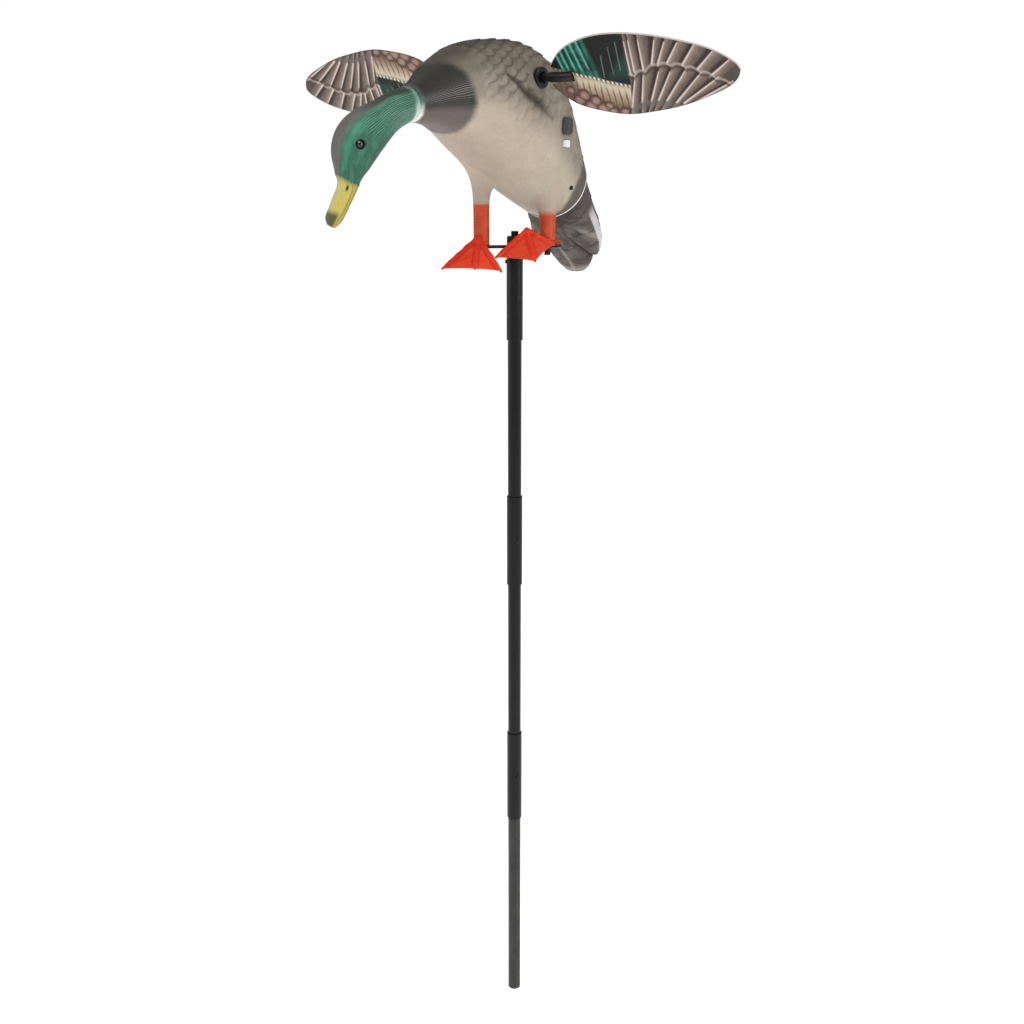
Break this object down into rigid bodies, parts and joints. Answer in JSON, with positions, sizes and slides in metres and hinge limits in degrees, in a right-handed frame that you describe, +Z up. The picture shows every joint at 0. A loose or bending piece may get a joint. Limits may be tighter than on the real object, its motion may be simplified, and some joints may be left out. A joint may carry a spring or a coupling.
{
  "type": "motion wing decoy",
  "caption": "Landing-pose drake decoy with motor-spun printed wings and orange webbed feet, standing on a take-apart black ground stake.",
  "frame": {"origin": "centre of the stake's bottom end", "axes": "+Z up the stake, -Y the way the duck's body faces, +X the duck's left"},
  "size_m": [0.685, 0.4522, 1.4143],
  "materials": {
    "stake_steel": "satin black powder coat",
    "dark_steel": "blackened steel",
    "black_plastic": "matt moulded black",
    "orange_vinyl": "soft bright orange vinyl",
    "body_vinyl": "airbrushed beige and grey brown, embossed feathers",
    "green_vinyl": "airbrushed green head, yellow bill",
    "eye_gloss": "gloss black",
    "tail_vinyl": "airbrushed dark grey",
    "axle_steel": "ground",
    "motor_can": "plated",
    "wing_print": "printed feathers on a thin plastic blade",
    "battery_wrap": "heat-shrunk wrap",
    "strap_web": "woven strap",
    "board_green": "solder mask",
    "socket_metal": "stamped",
    "boot_rubber": "dark slate rubber",
    "plug_rubber": "pale lilac rubber"
  },
  "bodies": {
    "stake_base": {"lower_stake_tube": "stake_steel", "lower_stake_sleeve": "stake_steel", "lower_stop_rivet": "dark_steel"},
    "stake_middle": {"middle_stake_tube": "stake_steel", "middle_stake_sleeve": "stake_steel", "middle_stop_rivet": "dark_steel"},
    "stake_upper": {"upper_stake_tube": "stake_steel", "top_stake_sleeve": "stake_steel", "top_stop_rivet": "dark_steel", "lock_screw": "dark_steel"},
    "swivel": {"swivel_post": "stake_steel"},
    "nut": {"clamp_nut": "black_plastic"},
    "decoy": {"foot_plate": "stake_steel", "leg_screws": "dark_steel", "right_foot": "orange_vinyl", "left_foot": "orange_vinyl", "body_shell": "body_vinyl", "head_and_bill": "green_vinyl", "left_eye": "eye_gloss", "right_eye": "eye_gloss", "tail_cap": "tail_vinyl", "tail_screws": "dark_steel", "left_bearing_bush": "black_plastic", "right_bearing_bush": "black_plastic", "drive_motor": "motor_can", "upper_motor_housing": "black_plastic", "lower_motor_housing": "black_plastic", "housing_screws": "dark_steel", "chassis_shelf": "black_plastic", "shelf_screws": "dark_steel", "battery_pack": "battery_wrap", "battery_strap": "strap_web", "control_case": "black_plastic", "control_board": "board_green", "charge_socket": "socket_metal"},
    "rotor": {"wing_axle": "axle_steel"},
    "left_wing_set": {"left_wing": "wing_print", "left_wing_post": "black_plastic"},
    "right_wing_set": {"right_wing": "wing_print", "right_wing_post": "black_plastic"},
    "button": {"power_button": "boot_rubber"},
    "port_plug": {"port_cover": "plug_rubber"}
  },
  "joints": [
    {"name": "middle_section_pull", "type": "slide", "parent": "stake_base", "child": "stake_middle", "axis": [0, 0, 1], "range_m": [0, 0.06]},
    {"name": "upper_section_pull", "type": "slide", "parent": "stake_middle", "child": "stake_upper", "axis": [0, 0, 1], "range_m": [0, 0.06]},
    {"name": "post_pull", "type": "slide", "parent": "stake_upper", "child": "swivel", "axis": [0, 0, 1], "range_m": [0, 0.045]},
    {"name": "clamp_nut_turn", "type": "hinge", "parent": "swivel", "child": "nut", "pos_m": [0, 0, 1.1665], "axis": [0, 0, 1], "continuous": true},
    {"name": "decoy_swivel", "type": "hinge", "parent": "swivel", "child": "decoy", "pos_m": [0, 0, 1.159], "axis": [0, 0, 1], "continuous": true},
    {"name": "wing_spin", "type": "hinge", "parent": "decoy", "child": "rotor", "pos_m": [0, -0.0407, 1.3666], "axis": [1, 0, 0], "continuous": true},
    {"name": "left_wing_pull", "type": "slide", "parent": "rotor", "child": "left_wing_set", "axis": [1, 0, 0], "range_m": [0, 0.025]},
    {"name": "right_wing_pull", "type": "slide", "parent": "rotor", "child": "right_wing_set", "axis": [-1, 0, 0], "range_m": [0, 0.025]},
    {"name": "power_button_press", "type": "slide", "parent": "decoy", "child": "button", "axis": [-0.9793, -0.2014, 0.0195], "range_m": [0, 0.002], "stiffness_N_per_m": 900},
    {"name": "port_cover_pull", "type": "slide", "parent": "decoy", "child": "port_plug", "axis": [0.9793, 0.2014, -0.0195], "range_m": [0, 0.006]}
  ]
}
